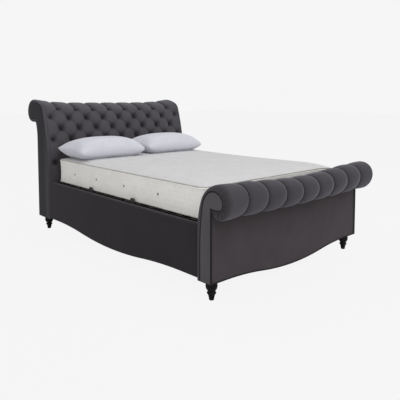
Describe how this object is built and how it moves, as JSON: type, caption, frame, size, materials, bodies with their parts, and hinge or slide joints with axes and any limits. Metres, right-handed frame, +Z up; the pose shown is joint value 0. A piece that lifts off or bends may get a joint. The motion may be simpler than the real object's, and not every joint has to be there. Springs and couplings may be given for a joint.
{
  "type": "ottoman bed",
  "caption": "Upholstered king size scroll bed whose sprung platform lifts at the foot end on hinges with gas struts over a storage base.",
  "frame": {"origin": "centre of the outline's base, on the floor", "axes": "+X across the bed to the right as seen from the foot end, +Y from the foot end to the headboard, +Z up"},
  "size_m": [1.658, 2.781, 1.2458],
  "materials": {
    "charcoal_velvet": "short pile velvet with a soft sheen",
    "button_velvet": "velvet drawn tight over buttons",
    "back_cloth": "plain velvet on the outside back",
    "timber_core": "plain sawn softwood and board",
    "floor_board": "thin fibre board",
    "black_lacquer": "satin black lacquer",
    "black_steel": "satin black powder coat",
    "zinc_steel": "zinc plated steel",
    "strut_black": "gloss black paint",
    "strut_chrome": "polished rod",
    "black_rubber": "matte moulded rubber",
    "holder_plastic": "matte moulded plastic",
    "beech_slat": "pale laminated beech",
    "webbing": "woven polyester strap",
    "mattress_ticking": "pale quilted ticking",
    "pillow_cotton": "cool white cotton"
  },
  "bodies": {
    "bed_base": {"headboard_frame": "timber_core", "headboard_pad": "charcoal_velvet", "headboard_buttons": "button_velvet", "headboard_back": "back_cloth", "headboard_end_pads": "charcoal_velvet", "headboard_left_facing": "charcoal_velvet", "headboard_right_facing": "charcoal_velvet", "footboard_frame": "timber_core", "footboard_pad": "charcoal_velvet", "footboard_front_panel": "charcoal_velvet", "footboard_end_pads": "charcoal_velvet", "footboard_left_facing": "charcoal_velvet", "footboard_right_facing": "charcoal_velvet", "left_rail_board": "timber_core", "right_rail_board": "timber_core", "left_rail_cover": "charcoal_velvet", "right_rail_cover": "charcoal_velvet", "left_floor_ledger": "timber_core", "right_floor_ledger": "timber_core", "floor_beam": "timber_core", "beam_legs": "black_lacquer", "floor_panel_1": "floor_board", "floor_panel_2": "floor_board", "floor_panel_3": "floor_board", "floor_panel_4": "floor_board", "front_left_foot": "black_lacquer", "front_right_foot": "black_lacquer", "back_left_foot": "black_lacquer", "back_right_foot": "black_lacquer", "corner_brackets": "black_steel", "corner_bolts": "zinc_steel", "base_plates": "black_steel", "base_plate_bolts": "zinc_steel", "base_pivot_pins": "zinc_steel", "platform_ledge": "timber_core", "rubber_stops": "black_rubber"},
    "platform": {"left_side_tube": "black_steel", "right_side_tube": "black_steel", "head_tube": "black_steel", "foot_tube": "black_steel", "cross_tubes": "black_steel", "slat_rail": "black_steel", "sprung_slats": "beech_slat", "slat_holders": "holder_plastic", "lift_brackets": "black_steel", "platform_pivot_pins": "zinc_steel", "mattress_retainers": "black_steel", "pull_strap": "webbing", "mattress": "mattress_ticking", "left_pillow": "pillow_cotton", "right_pillow": "pillow_cotton"},
    "rear_links": {"rear_links": "black_steel"},
    "front_links": {"front_links": "black_steel"},
    "strut_cylinders": {"strut_cylinders": "strut_black"},
    "strut_rods": {"strut_rods": "strut_chrome"}
  },
  "joints": [
    {"name": "platform_lift", "type": "hinge", "parent": "bed_base", "child": "rear_links", "pos_m": [0, 0.41068, 0.3714], "axis": [1, 0, 0], "range_deg": [0, 47.17]},
    {"name": "platform_tilt", "type": "hinge", "parent": "rear_links", "child": "platform", "pos_m": [0, 0.58073, 0.44156], "axis": [-1, 0, 0], "range_deg": [0, 81.17]},
    {"name": "front_link_swing", "type": "hinge", "parent": "bed_base", "child": "front_links", "pos_m": [0, 0.18048, 0.30265], "axis": [1, 0, 0], "range_deg": [0, 31.65]},
    {"name": "strut_swing", "type": "hinge", "parent": "bed_base", "child": "strut_cylinders", "pos_m": [0, 0.41298, 0.199], "axis": [1, 0, 0], "range_deg": [0, 28.88]},
    {"name": "strut_extension", "type": "slide", "parent": "strut_cylinders", "child": "strut_rods", "axis": [0, 0.5599, 0.8285], "range_m": [0, 0.07697]}
  ],
  "couplings": [
    {"joint": "platform_tilt", "follows": "platform_lift", "ratio": 1.7208},
    {"joint": "front_link_swing", "follows": "platform_lift", "ratio": 0.67088},
    {"joint": "strut_swing", "follows": "platform_lift", "ratio": 0.61208},
    {"joint": "strut_extension", "follows": "platform_lift", "m_per_rad": 0.093485}
  ]
}
